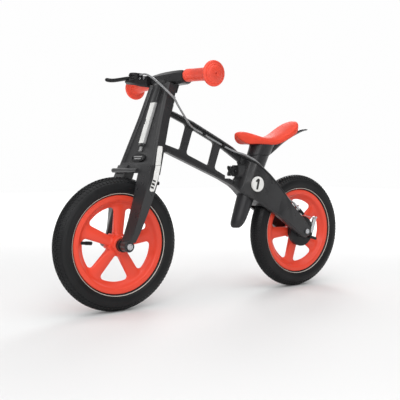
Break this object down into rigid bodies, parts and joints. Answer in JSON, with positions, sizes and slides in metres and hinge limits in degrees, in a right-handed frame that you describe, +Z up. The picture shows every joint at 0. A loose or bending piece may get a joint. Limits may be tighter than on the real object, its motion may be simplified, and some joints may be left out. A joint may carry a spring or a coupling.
{
  "type": "balance bike",
  "caption": "Child's balance bike with a moulded ladder frame, a two-shell steering fork, spoked wheels with pneumatic tyres, a sliding padded saddle and a hand-operated rear drum brake.",
  "frame": {"origin": "on the floor, midway between the two axles", "axes": "+X forward to the front wheel, +Y to the rider's left, +Z up"},
  "size_m": [0.8522, 0.3711, 0.558],
  "materials": {
    "frame_nylon": "moulded glass-filled nylon, satin",
    "black_plastic": "black moulded plastic",
    "rubber_black": "black rubber",
    "saddle_shell_plastic": "black moulded plastic, satin",
    "orange_pad": "orange-red soft foam skin",
    "orange_plastic": "orange-red moulded plastic, satin",
    "orange_rubber": "orange-red soft rubber",
    "tyre_rubber": "black tyre with small tread blocks",
    "cable_casing": "grey cable casing",
    "steel": "zinc-plated steel"
  },
  "bodies": {
    "frame": {"main_frame": "frame_nylon", "upper_head_bush": "black_plastic", "lower_head_bush": "black_plastic", "rear_axle": "steel", "rear_hub_spacer_right": "black_plastic", "rear_axle_nut_left": "steel", "rear_axle_nut_right": "steel", "brake_back_plate": "black_plastic", "brake_shoe_upper": "black_plastic", "brake_shoe_lower": "black_plastic", "torque_strap": "black_plastic", "cable_stop": "steel", "barrel_adjuster": "steel", "cable_bellows": "rubber_black", "brake_cable_frame": "cable_casing", "cable_clip_1": "black_plastic", "cable_clip_2": "black_plastic"},
    "seat": {"seat_post": "saddle_shell_plastic", "saddle_shell": "saddle_shell_plastic", "saddle_pad": "orange_pad"},
    "knob": {"clamp_knob": "black_plastic", "clamp_bolt": "steel"},
    "steering": {"fork_left": "frame_nylon", "fork_right": "frame_nylon", "fork_spine": "frame_nylon", "upper_crown": "black_plastic", "lower_crown": "black_plastic", "steering_bolt": "steel", "steering_nut": "steel", "front_axle": "steel", "front_axle_nut_left": "steel", "front_axle_nut_right": "steel", "front_hub_spacer_left": "black_plastic", "front_hub_spacer_right": "black_plastic", "fork_bolt_left": "black_plastic", "fork_bolt_right": "black_plastic", "handlebar_tube": "steel", "handlebar_centre": "frame_nylon", "grip_left": "orange_rubber", "grip_right": "orange_rubber", "lever_bracket": "black_plastic", "lever_pivot_cap": "black_plastic", "lever_screw_1": "steel", "lever_screw_2": "steel", "brake_cable_loop": "cable_casing"},
    "lever": {"brake_lever": "black_plastic"},
    "cam": {"brake_arm": "steel"},
    "front_wheel": {"front_rim": "orange_plastic", "front_tyre": "tyre_rubber", "front_inner_tube": "rubber_black", "front_valve": "black_plastic", "front_bearing_left": "steel", "front_bearing_right": "steel"},
    "rear_wheel": {"rear_rim": "orange_plastic", "rear_tyre": "tyre_rubber", "rear_inner_tube": "rubber_black", "rear_valve": "black_plastic", "rear_bearing_left": "steel", "rear_bearing_right": "steel", "brake_drum": "black_plastic"}
  },
  "joints": [
    {"name": "steering_turn", "type": "hinge", "parent": "frame", "child": "steering", "pos_m": [0.124, 0, 0.52], "axis": [-0.3219, 0, 0.9468], "range_deg": [-35, 35], "deforming": ["brake_cable_loop"]},
    {"name": "seat_height", "type": "slide", "parent": "frame", "child": "seat", "axis": [-0.3714, 0, 0.9285], "range_m": [0, 0.06]},
    {"name": "clamp_turn", "type": "hinge", "parent": "frame", "child": "knob", "pos_m": [-0.06, 0, 0.3155], "axis": [1, 0, 0], "range_deg": [0, 360]},
    {"name": "lever_pull", "type": "hinge", "parent": "steering", "child": "lever", "pos_m": [0.16, -0.12, 0.545], "axis": [0, 0, -1], "range_deg": [0, 28], "stiffness_Nm_per_rad": 0.6},
    {"name": "cam_turn", "type": "hinge", "parent": "frame", "child": "cam", "pos_m": [-0.3056, 0.03, 0.154], "axis": [0, 1, 0], "range_deg": [-1, 15]},
    {"name": "front_wheel_spin", "type": "hinge", "parent": "steering", "child": "front_wheel", "pos_m": [0.2741, 0, 0.152], "axis": [0, 1, 0], "continuous": true},
    {"name": "rear_wheel_spin", "type": "hinge", "parent": "frame", "child": "rear_wheel", "pos_m": [-0.2741, 0, 0.152], "axis": [0, 1, 0], "continuous": true}
  ],
  "couplings": [
    {"joint": "cam_turn", "follows": "lever_pull", "ratio": 0.5}
  ]
}
